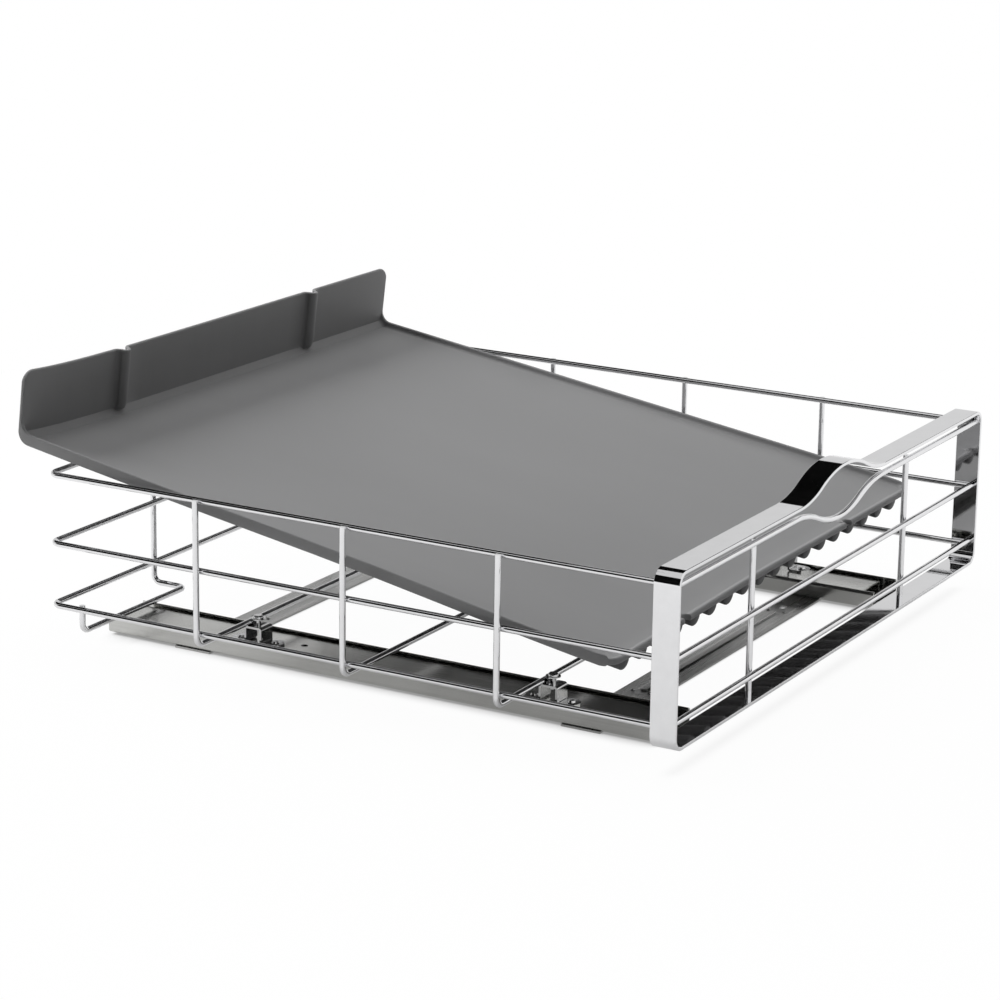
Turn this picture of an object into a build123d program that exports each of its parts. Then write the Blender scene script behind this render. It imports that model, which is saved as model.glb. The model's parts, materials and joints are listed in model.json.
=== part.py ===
from build123d import *

import os
from math import asin, copysign, cos, radians, sin, tan

# Pull-out cabinet organizer: a welded wire basket that runs on two ball-bearing slides,
# with a ribbed liner laid loosely in it, its back end resting on the rear rim wire.
# Millimetres. X across, Y towards the back of the cabinet, Z up.
# The origin is the centre of the four mounting holes, on the cabinet floor.

# Basket
basket_width = 508.0
basket_depth = 508.0
basket_ahead = 258.0
wire_d = 4.4
weld_gap = 0.05

# Front frame, a flat strip bent into a ring, with a hump over the grip
frame_bottom = 19.0
frame_height = 121.5
strip_depth = 19.0
strip_wall = 2.5
frame_corner = 9.5
hump_rise = 16.0
hump_half = 73.0

# Wires across the front frame
grip_setback = 4.3
grip_height = 111.8
grip_dip = 14.3
grip_end_gap = 0.4
front_mid_height = 62.5
front_low_height = 18.4
upright_inset = 125.5
upright_overlap = 0.7

# Rim wires, three rings open at the front
rim_heights = {"top": 111.8, "mid": 61.3, "low": 15.4}
rim_bend = 8.0

# Cross wires, three wires bent under the basket
cross_places = {"front": 133.0, "middle": 253.0, "rear": 373.0}
cross_drop = 7.6
cross_bend = 7.0
weld_end = 1.2

# Corner wires, which stiffen the back
corner_inset = 135.3
corner_setback = 30.0
corner_clear = 0.5
corner_bend = 6.0
corner_leg = 1.8

# Slides
rail_inset = 79.0
rail_width = 45.0
rail_height = 12.7
rail_length = 450.0
rail_setback = 40.0
rail_sheet = 1.2
rail_bend = 1.8
rail_lip = 2.8
stop_width = 12.0
stop_height = 9.5
inner_setback = 12.0
inner_length = 432.0
inner_drop = 2.2
inner_skirt = 7.6
inner_bend = 1.2
inner_hole_d = 5.0
inner_hole_at = 283.0
race_height = 6.2
race_depth = 0.8
race_half = 2.0
ball_d = 4.0
ball_gap = 0.2
ball_count = 4
ball_pitch = 24.0
cage_sheet = 0.8
cage_gap = 0.4
cage_rise = 7.0
cage_margin = 4.0
pocket_gap = 0.15
travel = 340.0

# Cross straps and the mounting holes in them
strap_width = 30.0
strap_sheet = 1.5
hole_inset = 53.5
hole_spacing_y = 317.0
hole_r = 2.6
hole_slot = 7.5
bead_width = 7.0
bead_height = 1.0
bead_margin = 14.0
dimple_r = 1.6
dimple_height = 0.7
dimple_spacing_x = 24.0
dimple_spacing_y = 13.0
rivet_r = 2.0
rivet_fit = 0.05
strap_rivet_spacing = 14.0

# Clamps that hold the cross wires on the inner rails
clamp_outset = 9.5
clamp_width = 14.4
clamp_sheet = 1.5
clamp_bend = 0.6
clamp_ahead = 12.2
clamp_behind = 2.2
clamp_foot = 13.6
clamp_foot_flat = 0.2
clamp_rivet_inset = 6.5
clamp_rivet_r = 1.6
clamp_rivet_head_r = 3.0
clamp_rivet_head = 1.3
clamp_rivet_edge = 0.6
clamp_rivet_tail = 0.6
clamp_collar_r = 2.9
clamp_collar = 2.4
screw_r = 2.0
screw_offset = 5.0
washer_r = 5.2
washer_sheet = 0.8
screw_head_r = 3.7
screw_head = 2.0
screw_head_edge = 1.0
screw_reach = 7.0

# Liner
liner_side_gap = 3.0
liner_setback = 51.0
liner_overhang = 33.5
liner_tilt = 9.0
liner_sheet = 2.8
liner_rest = 0.3
lip_width = 3.0
lip_height = 6.0
lip_taper = 26.0
lip_rise = 16.0
lip_rise_height = 27.0
front_corner = 14.0
back_height = 45.5
back_lean = 2.5
back_corner = 11.0
back_bend = 8.0
groove_inset = 117.5
groove_r = 3.1
groove_ahead = 6.2
groove_wall = 2.6
rib_count = 18
rib_width = 13.0
rib_height = 8.5
rib_inset = 14.8
rib_round = 5.5
rib_stop = 14.0
notch_r = 4.0

# Places that follow from the sizes above
wire_r = wire_d / 2
front_y = -basket_ahead
back_y = front_y + basket_depth
half_width = basket_width / 2
post_x = half_width - strip_wall
rim_x = post_x - wire_r - weld_gap
cross_x = rim_x + wire_d + weld_gap
grip_y = front_y + grip_setback
rim_front_y = grip_y + wire_r + weld_gap
upright_y = grip_y + wire_d + weld_gap
corner_back_y = back_y - wire_r
rim_back_y = corner_back_y - wire_d - weld_gap
rim_z = {name: frame_bottom + height for name, height in rim_heights.items()}
grip_z = frame_bottom + grip_height
cross_z = rim_z["low"] - cross_drop
strap_top = strap_sheet
rail_top = strap_top + rail_height
rail_front_y = front_y + rail_setback
rail_floor = strap_top + rail_sheet
race_z = strap_top + race_height
ball_x = rail_width / 2 - rail_sheet - ball_gap - ball_d / 2
race_face = ball_x - ball_d / 2 - ball_gap
inner_half = race_face + race_depth
inner_top = rail_top - inner_drop
inner_front_y = rail_front_y + inner_setback
inner_back_y = inner_front_y + inner_length
cage_length = inner_back_y - travel - rail_front_y - 2 * cage_margin
cage_front_y = rail_front_y + cage_margin + travel / 2
cage_mid_y = cage_front_y + cage_length / 2
upright_x = half_width - upright_inset
corner_x = half_width - corner_inset
rail_x = half_width - rail_inset
hole_x = rail_x - hole_inset
clamp_top = cross_z - wire_r - weld_gap
washer_z = cross_z + wire_r + weld_gap
sides = {"left": -1, "right": 1}
clamp_wires = {"front": front_y + cross_places["front"], "rear": front_y + cross_places["rear"]}
clamp_xs = {name: side * (rail_x + clamp_outset) for name, side in sides.items()}
clamp_rivet_reaches = (
    -clamp_ahead - clamp_foot + clamp_rivet_inset,
    clamp_behind + clamp_foot - clamp_rivet_inset,
)


def arch(half, rise, z):
    """A smooth hump, or with a negative rise a dip, in a level line: three tangent arcs."""
    radius = (half**2 + rise**2) / (4 * abs(rise))
    half_turn = asin(half / 2 / radius) / 2
    shoulder_x = half - radius * sin(half_turn)
    shoulder_z = z + copysign(radius * (1 - cos(half_turn)), rise)
    ThreePointArc((-half, z), (-shoulder_x, shoulder_z), (-half / 2, z + rise / 2))
    ThreePointArc((-half / 2, z + rise / 2), (0, z + rise), (half / 2, z + rise / 2))
    ThreePointArc((half / 2, z + rise / 2), (shoulder_x, shoulder_z), (half, z))


# Front frame
frame_top = frame_bottom + frame_height
with BuildPart() as front_frame:
    with BuildSketch(Plane.XZ.offset(-front_y)):
        with BuildLine():
            arch(hump_half, hump_rise, frame_top)
            Polyline(
                (hump_half, frame_top),
                (half_width, frame_top),
                (half_width, frame_bottom),
                (-half_width, frame_bottom),
                (-half_width, frame_top),
                (-hump_half, frame_top),
            )
        make_face()
        fillet(vertices().group_by(Axis.X)[0] + vertices().group_by(Axis.X)[-1], radius=frame_corner)
        offset(amount=-strip_wall, kind=Kind.INTERSECTION, mode=Mode.SUBTRACT)
    extrude(amount=-strip_depth)

# Wires across the front frame
front_end = post_x - weld_gap
grip_end = post_x - grip_end_gap
with BuildPart() as grip_wire:
    with BuildLine(Plane.XZ.offset(-grip_y)) as grip_path:
        Line((-grip_end, grip_z), (-hump_half, grip_z))
        arch(hump_half, -grip_dip, grip_z)
        Line((hump_half, grip_z), (grip_end, grip_z))
    with BuildSketch(Plane.YZ.offset(-grip_end)):
        with Locations((grip_y, grip_z)):
            Circle(wire_r)
    sweep(path=grip_path.wire())

with BuildPart() as front_mid_wire:
    with BuildSketch(Plane.YZ):
        with Locations((grip_y, frame_bottom + front_mid_height)):
            Circle(wire_r)
    extrude(amount=front_end, both=True)

with BuildPart() as front_low_wire:
    with BuildSketch(Plane.YZ):
        with Locations((grip_y, frame_bottom + front_low_height)):
            Circle(wire_r)
    extrude(amount=front_end, both=True)

uprights = {}
for name, side in sides.items():
    upright_foot = frame_bottom + strip_wall
    with BuildPart() as upright:
        with BuildSketch(Plane.XY.offset(upright_foot)):
            with Locations((side * upright_x, upright_y)):
                Circle(wire_r)
        extrude(amount=grip_z + upright_overlap - upright_foot)
    uprights[name + "_front_upright"] = upright

# Rim wires
rims = {}
for name, height in rim_z.items():
    with BuildPart() as rim:
        with BuildLine(Plane.XY.offset(height)) as rim_path:
            FilletPolyline(
                (-rim_x, rim_front_y),
                (-rim_x, rim_back_y),
                (rim_x, rim_back_y),
                (rim_x, rim_front_y),
                radius=rim_bend,
            )
        with BuildSketch(Plane(rim_path.wire() @ 0, z_dir=rim_path.wire() % 0)):
            Circle(wire_r)
        sweep(path=rim_path.wire())
    rims[name + "_rim_wire"] = rim

# Cross wires
crosses = {}
for name, place in cross_places.items():
    cross_top = rim_z["top"] + weld_end
    with BuildPart() as cross:
        with BuildLine(Plane.XZ.offset(-(front_y + place))) as cross_path:
            FilletPolyline(
                (-cross_x, cross_top),
                (-cross_x, cross_z),
                (cross_x, cross_z),
                (cross_x, cross_top),
                radius=cross_bend,
            )
        with BuildSketch(Plane(cross_path.wire() @ 0, z_dir=cross_path.wire() % 0)):
            Circle(wire_r)
        sweep(path=cross_path.wire())
    crosses[name + "_cross_wire"] = cross

# Corner wires
corners = {}
corner_y = back_y - corner_setback
corner_z = rail_top + corner_clear + wire_r
leg_x = rim_x - wire_d - weld_gap
for name, side in sides.items():
    with BuildPart() as corner:
        with BuildLine() as corner_path:
            FilletPolyline(
                (side * leg_x, corner_y, rim_z["low"] + corner_leg),
                (side * leg_x, corner_y, corner_z),
                (side * corner_x, corner_y, corner_z),
                (side * corner_x, corner_back_y, corner_z),
                (side * corner_x, corner_back_y, rim_z["top"] + weld_end),
                radius=corner_bend,
            )
        with BuildSketch(Plane(corner_path.wire() @ 0, z_dir=corner_path.wire() % 0)):
            Circle(wire_r)
        sweep(path=corner_path.wire())
    corners[name + "_corner_wire"] = corner


def rail_plane(side, y):
    """The plane of a slide's cross-section: its X across the slide, its Y up, facing the front."""
    return Plane(origin=(side * rail_x, y, 0), x_dir=(1, 0, 0), z_dir=(0, -1, 0))


rivet_spots = [
    (side * rail_x + offset_x, row * hole_spacing_y / 2)
    for side in sides.values()
    for row in (-1, 1)
    for offset_x in (-strap_rivet_spacing / 2, strap_rivet_spacing / 2)
]

# Outer rails, upward channels with rolled-in edges and a stop bent up at the back
outer_rails = {}
rail_wall_x = (rail_width - rail_sheet) / 2
rail_wall_top = rail_top - rail_sheet / 2
rail_wall_foot = strap_top + rail_sheet / 2
lip_x = rail_width / 2 - rail_lip
for name, side in sides.items():
    with BuildPart() as outer_rail:
        with BuildSketch(rail_plane(side, rail_front_y)):
            with BuildLine():
                FilletPolyline(
                    (-lip_x, rail_wall_top),
                    (-rail_wall_x, rail_wall_top),
                    (-rail_wall_x, rail_wall_foot),
                    (rail_wall_x, rail_wall_foot),
                    (rail_wall_x, rail_wall_top),
                    (lip_x, rail_wall_top),
                    radius=rail_bend,
                )
            trace(line_width=rail_sheet)
        extrude(amount=-rail_length)
        with BuildSketch(rail_plane(side, rail_front_y + rail_length)):
            with Locations((0, rail_floor)):
                Rectangle(stop_width, stop_height, align=(Align.CENTER, Align.MIN))
        extrude(amount=rail_sheet)
        with Locations(*rivet_spots):
            Cylinder(rivet_r + rivet_fit, 2 * rail_floor, mode=Mode.SUBTRACT)
    outer_rails[name + "_outer_rail"] = outer_rail

# Inner rails, downward channels with a ball race pressed into each skirt
inner_rails = {}
skirt_x = inner_half - rail_sheet / 2
skirt_foot = inner_top - inner_skirt
web_z = inner_top - rail_sheet / 2
for name, side in sides.items():
    with BuildPart() as inner_rail:
        with BuildSketch(rail_plane(side, inner_front_y)):
            with BuildLine():
                FilletPolyline(
                    (-skirt_x, skirt_foot),
                    (-skirt_x, race_z - race_half),
                    (-skirt_x + race_depth, race_z),
                    (-skirt_x, race_z + race_half),
                    (-skirt_x, web_z),
                    (skirt_x, web_z),
                    (skirt_x, race_z + race_half),
                    (skirt_x - race_depth, race_z),
                    (skirt_x, race_z - race_half),
                    (skirt_x, skirt_foot),
                    radius=inner_bend,
                )
            trace(line_width=rail_sheet)
        extrude(amount=-inner_length)
        with Locations((side * rail_x, inner_front_y + inner_hole_at, inner_top)):
            Hole(inner_hole_d / 2, depth=2 * rail_sheet)
        for wire_y in clamp_wires.values():
            with Locations(*[(clamp_xs[name], wire_y + reach, inner_top) for reach in clamp_rivet_reaches]):
                Hole(clamp_rivet_r + rivet_fit, depth=2 * rail_sheet)
    inner_rails[name + "_inner_rail"] = inner_rail

# Ball cages and balls
cages = {}
balls = {}
cage_half = ball_x
cage_foot = rail_floor + cage_gap + cage_sheet / 2
cage_top = rail_floor + cage_gap + cage_rise
for name, side in sides.items():
    with BuildPart() as cage:
        with BuildSketch(rail_plane(side, cage_front_y)):
            with BuildLine():
                FilletPolyline(
                    (-cage_half, cage_top),
                    (-cage_half, cage_foot),
                    (cage_half, cage_foot),
                    (cage_half, cage_top),
                    radius=cage_sheet,
                )
            trace(line_width=cage_sheet)
        extrude(amount=-cage_length)
        with BuildSketch(Plane.YZ.offset(side * rail_x)):
            with Locations((cage_mid_y, race_z)):
                with GridLocations(ball_pitch, 0, ball_count, 1):
                    Circle(ball_d / 2 + pocket_gap)
        extrude(amount=rail_width / 2, both=True, mode=Mode.SUBTRACT)
    cages[name + "_ball_cage"] = cage
    with BuildPart() as ball_set:
        with Locations((side * rail_x, cage_mid_y, race_z)):
            with GridLocations(2 * ball_x, ball_pitch, 2, ball_count):
                Sphere(ball_d / 2)
    balls[name + "_balls"] = ball_set

# Cross straps, with the mounting holes, a stiffening bead and dimples round each hole
straps = {}
bead_length = 2 * (hole_x - bead_margin)
strap_length = 2 * rail_x + rail_width
for name, row in (("front", -1), ("rear", 1)):
    strap_y = row * hole_spacing_y / 2
    hole_spots = [(-hole_x, strap_y), (hole_x, strap_y)]
    with BuildPart() as strap:
        with BuildSketch():
            with Locations((0, strap_y)):
                Rectangle(strap_length, strap_width)
            with Locations(*hole_spots):
                SlotOverall(hole_slot, 2 * hole_r, mode=Mode.SUBTRACT)
            with Locations(*rivet_spots):
                Circle(rivet_r + rivet_fit, mode=Mode.SUBTRACT)
        extrude(amount=strap_sheet)
        with BuildSketch(Plane.XY.offset(strap_top)):
            with Locations((0, strap_y)):
                SlotOverall(bead_length, bead_width)
        extrude(amount=bead_height, taper=45)
        with BuildSketch(Plane.XY.offset(strap_top)):
            with Locations(*hole_spots):
                with GridLocations(dimple_spacing_x, dimple_spacing_y, 2, 2):
                    Circle(dimple_r)
        extrude(amount=dimple_height, taper=45)
    straps[name + "_cross_strap"] = strap

with BuildPart() as strap_rivets:
    with BuildSketch():
        with Locations(*rivet_spots):
            Circle(rivet_r)
    extrude(amount=rail_floor)

# Clamps: hat brackets riveted to the inner rails, each with a screw whose washer holds the wire down
clamps = {}
clamp_roof = clamp_top - clamp_sheet / 2
clamp_sole = inner_top + clamp_sheet / 2
for side_name in sides:
    for row_name, wire_y in clamp_wires.items():
        block_front = wire_y - clamp_ahead
        block_back = wire_y + clamp_behind
        foot_top = inner_top + clamp_sheet
        clamp_x = clamp_xs[side_name]
        with BuildPart() as clamp:
            with BuildSketch(Plane.YZ.offset(clamp_x)):
                with BuildLine():
                    FilletPolyline(
                        (block_front - clamp_foot, clamp_sole),
                        (block_front + clamp_sheet / 2, clamp_sole),
                        (block_front + clamp_sheet / 2, clamp_roof),
                        (block_back - clamp_sheet / 2, clamp_roof),
                        (block_back - clamp_sheet / 2, clamp_sole),
                        (block_back + clamp_foot, clamp_sole),
                        radius=clamp_bend + clamp_sheet / 2,
                    )
                trace(line_width=clamp_sheet)
            extrude(amount=clamp_width / 2, both=True)
            foot_edges = clamp.edges().filter_by(Axis.Z).sort_by(Axis.Y)
            fillet(foot_edges[:2] + foot_edges[-2:], radius=(clamp_width - clamp_foot_flat) / 2)
            with Locations((clamp_x, wire_y - screw_offset, clamp_top)):
                with Locations((0, 0, -clamp_sheet)):
                    Cylinder(clamp_collar_r, clamp_collar, align=(Align.CENTER, Align.CENTER, Align.MAX))
                Hole(screw_r + rivet_fit, depth=clamp_sheet + clamp_collar)
            with Locations(*[(clamp_x, wire_y + reach, foot_top) for reach in clamp_rivet_reaches]):
                Hole(clamp_rivet_r + rivet_fit, depth=2 * clamp_sheet)
        clamps[side_name + "_" + row_name + "_clamp"] = clamp

screw_spots = [
    (clamp_x, wire_y - screw_offset)
    for clamp_x in clamp_xs.values()
    for wire_y in clamp_wires.values()
]
with BuildPart(mode=Mode.PRIVATE) as screw:
    with BuildSketch(Plane.XZ):
        with BuildLine():
            head_foot = washer_z + washer_sheet
            screw_top = head_foot + screw_head
            Polyline(
                (0, washer_z - screw_reach),
                (screw_r, washer_z - screw_reach),
                (screw_r, washer_z),
                (washer_r, washer_z),
                (washer_r, head_foot),
                (screw_head_r, head_foot),
                (screw_head_r, screw_top - screw_head_edge),
                (screw_head_r - screw_head_edge, screw_top),
                (0, screw_top),
                close=True,
            )
        make_face()
    revolve(axis=Axis.Z)

with BuildPart() as clamp_screws:
    with Locations(*screw_spots):
        add(screw.part)

clamp_rivet_spots = [
    (clamp_x, wire_y + reach)
    for clamp_x in clamp_xs.values()
    for wire_y in clamp_wires.values()
    for reach in clamp_rivet_reaches
]
with BuildPart(mode=Mode.PRIVATE) as clamp_rivet:
    with BuildSketch(Plane.XZ):
        with BuildLine():
            rivet_head_z = inner_top + clamp_sheet + weld_gap
            rivet_top = rivet_head_z + clamp_rivet_head
            rivet_tail_z = inner_top - rail_sheet - weld_gap
            Polyline(
                (0, rivet_tail_z - clamp_rivet_tail),
                (clamp_rivet_r + clamp_rivet_tail, rivet_tail_z),
                (clamp_rivet_r, rivet_tail_z),
                (clamp_rivet_r, rivet_head_z),
                (clamp_rivet_head_r, rivet_head_z),
                (clamp_rivet_head_r - clamp_rivet_edge, rivet_top),
                (0, rivet_top),
                close=True,
            )
        make_face()
    revolve(axis=Axis.Z)

with BuildPart() as clamp_rivets:
    with Locations(*clamp_rivet_spots):
        add(clamp_rivet.part)

# Liner, laid aslope: its local Y runs up the slope from the front edge, its local Z is square to the mat
slope = radians(liner_tilt)
liner_width = 2 * (rim_x - wire_r - liner_side_gap)
liner_front_y = front_y + liner_setback
liner_length = (rim_back_y + liner_overhang - liner_front_y) / cos(slope)
groove_x = liner_width / 2 - groove_inset
wire_top_z = rim_z["top"] + (wire_r + liner_rest + liner_sheet + rib_height) / cos(slope)
liner_front_z = wire_top_z - (rim_back_y - liner_front_y) * tan(slope)
up_slope = Vector(0, cos(slope), sin(slope))
off_mat = Vector(0, -sin(slope), cos(slope))
lean = radians(back_lean)
through_back = up_slope * cos(lean) - off_mat * sin(lean)
liner_origin = Vector(0, liner_front_y, liner_front_z)
mat_plane = Plane(origin=liner_origin, x_dir=(1, 0, 0), z_dir=off_mat)
front_plane = Plane(origin=liner_origin, x_dir=(1, 0, 0), z_dir=-up_slope)
side_plane = Plane(origin=liner_origin, x_dir=up_slope, z_dir=(1, 0, 0))
back_plane = Plane(
    origin=liner_origin + up_slope * liner_length,
    x_dir=(1, 0, 0),
    z_dir=up_slope * sin(lean) + off_mat * cos(lean),
)
liner_mid = liner_sheet / 2
back_mid = liner_length - liner_mid
rib_pitch = (liner_width - 2 * rib_inset - rib_width) / (rib_count - 1)
with BuildPart() as liner:
    with BuildSketch(side_plane):
        with BuildLine():
            FilletPolyline(
                (0, -liner_mid),
                (back_mid, -liner_mid),
                (back_mid + (back_height + liner_mid) * tan(lean), back_height),
                radius=back_bend + liner_mid,
            )
        trace(line_width=liner_sheet)
    extrude(amount=liner_width / 2, both=True)
    corner_edges = liner.edges().filter_by(Axis((0, 0, 0), through_back)).sort_by(Axis.Z)[-2:]
    fillet(corner_edges, radius=back_corner)
    for side in sides.values():
        with BuildSketch(side_plane.offset(side * liner_width / 2)):
            with BuildLine():
                Polyline((back_mid, lip_rise_height), (back_mid, -liner_mid), (0, -liner_mid), (0, 0))
                Polyline((0, 0), (lip_taper, lip_height), (back_mid - lip_rise, lip_height))
                rise_middle = (back_mid - 0.3 * lip_rise, 0.7 * lip_height + 0.3 * lip_rise_height)
                ThreePointArc((back_mid - lip_rise, lip_height), rise_middle, (back_mid, lip_rise_height))
            make_face()
        extrude(amount=-side * lip_width)
    with BuildSketch(mat_plane.offset(-liner_sheet)):
        Rectangle(liner_width, 2 * liner_length, align=(Align.CENTER, Align.MIN))
        fillet(vertices().group_by(Axis.Y)[0], radius=front_corner)
    extrude(amount=2 * back_height, mode=Mode.INTERSECT)
    with BuildSketch(front_plane):
        with Locations((0, -liner_sheet + weld_gap)):
            with GridLocations(rib_pitch, 0, rib_count, 1):
                Rectangle(rib_width, rib_height + weld_gap, align=(Align.CENTER, Align.MAX))
        fillet(vertices().group_by(Axis.Y)[0], radius=rib_round)
    extrude(amount=-(liner_length - rib_stop))
    with BuildSketch(back_plane):
        with Locations((-groove_x, -groove_ahead), (groove_x, -groove_ahead)):
            Circle(groove_r + groove_wall)
            Rectangle(2 * (groove_r + groove_wall), groove_ahead - liner_mid, align=(Align.CENTER, Align.MIN))
    extrude(amount=back_height)
    with BuildSketch(back_plane.offset(back_bend)):
        with Locations((-groove_x, -groove_ahead), (groove_x, -groove_ahead)):
            Circle(groove_r)
            Rectangle(2 * groove_r, 2 * groove_ahead, align=(Align.CENTER, Align.MIN))
    extrude(amount=back_height, mode=Mode.SUBTRACT)
    with BuildSketch(mat_plane):
        with Locations((-groove_x, 0), (groove_x, 0)):
            Circle(notch_r)
    extrude(amount=-liner_sheet, mode=Mode.SUBTRACT)

# Write every piece as its own file
pieces = {
    "front_frame": front_frame,
    "grip_wire": grip_wire,
    "front_mid_wire": front_mid_wire,
    "front_low_wire": front_low_wire,
    **uprights,
    **rims,
    **crosses,
    **corners,
    **outer_rails,
    **inner_rails,
    **cages,
    **balls,
    **straps,
    "strap_rivets": strap_rivets,
    **clamps,
    "clamp_screws": clamp_screws,
    "clamp_rivets": clamp_rivets,
    "liner": liner,
}
os.makedirs("parts", exist_ok=True)
for name, piece in pieces.items():
    piece.part.label = name
    export_step(piece.part, f"parts/{name}.step")
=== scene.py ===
import json
from math import asin, copysign, cos, pi, radians, sin, sqrt, tan

import bmesh
import bpy
from mathutils import Matrix, Vector

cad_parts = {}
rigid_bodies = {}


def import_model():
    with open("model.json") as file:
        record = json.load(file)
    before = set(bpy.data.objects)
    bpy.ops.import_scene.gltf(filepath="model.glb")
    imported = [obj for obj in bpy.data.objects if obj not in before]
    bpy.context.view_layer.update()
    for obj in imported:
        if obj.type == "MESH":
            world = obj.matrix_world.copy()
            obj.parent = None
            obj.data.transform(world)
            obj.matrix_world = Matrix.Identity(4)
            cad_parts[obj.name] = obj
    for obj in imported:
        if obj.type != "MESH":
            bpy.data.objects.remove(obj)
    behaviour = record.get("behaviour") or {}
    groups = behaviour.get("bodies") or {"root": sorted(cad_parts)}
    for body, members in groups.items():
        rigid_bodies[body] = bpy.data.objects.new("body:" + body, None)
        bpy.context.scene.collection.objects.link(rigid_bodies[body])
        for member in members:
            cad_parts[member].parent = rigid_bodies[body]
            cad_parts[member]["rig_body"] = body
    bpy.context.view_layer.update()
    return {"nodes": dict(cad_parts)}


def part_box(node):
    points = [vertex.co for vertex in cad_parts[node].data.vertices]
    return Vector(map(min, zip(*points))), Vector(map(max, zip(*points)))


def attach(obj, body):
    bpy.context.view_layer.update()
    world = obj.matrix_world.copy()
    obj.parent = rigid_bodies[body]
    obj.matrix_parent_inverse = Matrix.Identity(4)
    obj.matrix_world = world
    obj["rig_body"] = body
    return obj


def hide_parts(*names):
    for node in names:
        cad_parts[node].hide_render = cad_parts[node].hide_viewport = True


# Pull-out cabinet organizer, in metres: X across, Y towards the back of the cabinet, Z up.
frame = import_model()
MM = 0.001

# Camera of the photograph, which is 1000 pixels square
PHOTO_SIZE = 1000
FOCAL_PIXELS = 3309.55
SENSOR_WIDTH = 36.0
CLIP_END = 60
CAMERA_PLACE = Vector((-2.05011, -1.14888, 0.74878))
CAMERA_AZIMUTH = radians(-60.34)
CAMERA_ELEVATION = radians(15.67)
CAMERA_ROLL = radians(-0.83)


def make_camera():
    """The camera stands where the photograph was taken from, with no shift and no depth of field."""
    azimuth, elevation, roll = CAMERA_AZIMUTH, CAMERA_ELEVATION, CAMERA_ROLL
    forward = Vector((-sin(azimuth) * cos(elevation), cos(azimuth) * cos(elevation), -sin(elevation)))
    level_right = Vector((cos(azimuth), sin(azimuth), 0))
    level_down = forward.cross(level_right)
    right = cos(roll) * level_right + sin(roll) * level_down
    up = sin(roll) * level_right - cos(roll) * level_down
    data = bpy.data.cameras.new("photo_camera")
    data.sensor_width = SENSOR_WIDTH
    data.lens = FOCAL_PIXELS * SENSOR_WIDTH / PHOTO_SIZE
    data.clip_end = CLIP_END
    camera = bpy.data.objects.new("photo_camera", data)
    turn = Matrix((right, up, -forward)).transposed().to_4x4()
    camera.matrix_world = Matrix.Translation(CAMERA_PLACE) @ turn
    bpy.context.scene.collection.objects.link(camera)
    bpy.context.scene.camera = camera


# Nodes, for materials, the world and the geometry trees
NOISE_SPAN = (0.3, 0.7)


def node_adder(nodes):
    """A function that adds a node of a kind, with its settings."""

    def add(kind, **settings):
        node = nodes.new(kind)
        for key, value in settings.items():
            setattr(node, key, value)
        return node

    return add


def feed(link, socket, value):
    """A plain number is set on the socket, and a node's output is linked to it."""
    if isinstance(value, (int, float)):
        socket.default_value = value
    else:
        link(value, socket)


def calculated(add, link, kind, *values):
    """One sum on numbers or outputs."""
    node = add("ShaderNodeMath", operation=kind)
    for socket, value in zip(node.inputs, values):
        feed(link, socket, value)
    return node.outputs[0]


def blended(add, link, share, low, high):
    """A number between two, by a share; each may be a plain number or a node's output."""
    node = add("ShaderNodeMix", data_type="FLOAT")
    for socket, value in (("Factor", share), ("A", low), ("B", high)):
        feed(link, node.inputs[socket], value)
    return node.outputs["Result"]


def mixed(add, link, share, low, high):
    """A colour between two, by a share."""
    node = add("ShaderNodeMix", data_type="RGBA")
    link(share, node.inputs["Factor"])
    node.inputs["A"].default_value = (*low, 1)
    node.inputs["B"].default_value = (*high, 1)
    return node.outputs["Result"]


def graded(add, link, source, low, high, span=NOISE_SPAN):
    """An output's values brought from a span of their own to another."""
    node = add("ShaderNodeMapRange")
    for label, value in zip(("From Min", "From Max", "To Min", "To Max"), (*span, low, high)):
        node.inputs[label].default_value = value
    link(source, node.inputs["Value"])
    return node.outputs["Result"]


def object_noise(add, link, grain, detail, roughness):
    """Noise on Object coordinates, with as many waves per metre on each axis as its grain says."""
    place = add("ShaderNodeTexCoord")
    stretch = add("ShaderNodeMapping")
    stretch.inputs["Scale"].default_value = grain
    link(place.outputs["Object"], stretch.inputs["Vector"])
    noise = add("ShaderNodeTexNoise")
    link(stretch.outputs["Vector"], noise.inputs["Vector"])
    noise.inputs["Scale"].default_value = 1
    noise.inputs["Detail"].default_value = detail
    noise.inputs["Roughness"].default_value = roughness
    return noise.outputs["Fac"]


def bumped(add, link, shader, height, strength, distance):
    """A bump on the shader, its distance in metres."""
    node = add("ShaderNodeBump")
    node.inputs["Strength"].default_value = strength
    node.inputs["Distance"].default_value = distance
    link(height, node.inputs["Height"])
    link(node.outputs["Normal"], shader.inputs["Normal"])


# Materials
METAL_DETAIL = 4
METAL_ROUGHNESS = 0.6
RUBBER_FLOW = {"grain": (60, 5, 5), "detail": 5, "roughness": 0.65}
RUBBER_CLOUD = {"grain": (9, 6, 9), "detail": 4, "roughness": 0.6}
RUBBER_PEBBLE = {"grain": (2600, 2600, 2600), "detail": 2, "roughness": 0.5}
RUBBER_ROUGH = (0.50, 0.62)
RUBBER_BUMP = (0.12, 0.06 * MM)
RUBBER_SHINE = 0.3
RUBBER_BLUE = 1.01


def new_material(name):
    """A new node material, its shader, and the functions that add and link its nodes."""
    material = bpy.data.materials.new(name)
    material.use_nodes = True
    tree = material.node_tree
    return material, tree.nodes["Principled BSDF"], node_adder(tree.nodes), tree.links.new


def matt(name, grey):
    """A plain matt studio material, with no shine."""
    material, shader, add, link = new_material(name)
    shader.inputs["Base Color"].default_value = (grey, grey, grey, 1)
    shader.inputs["Roughness"].default_value = 1
    shader.inputs["Specular IOR Level"].default_value = 0
    return material, shader, add, link


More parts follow.
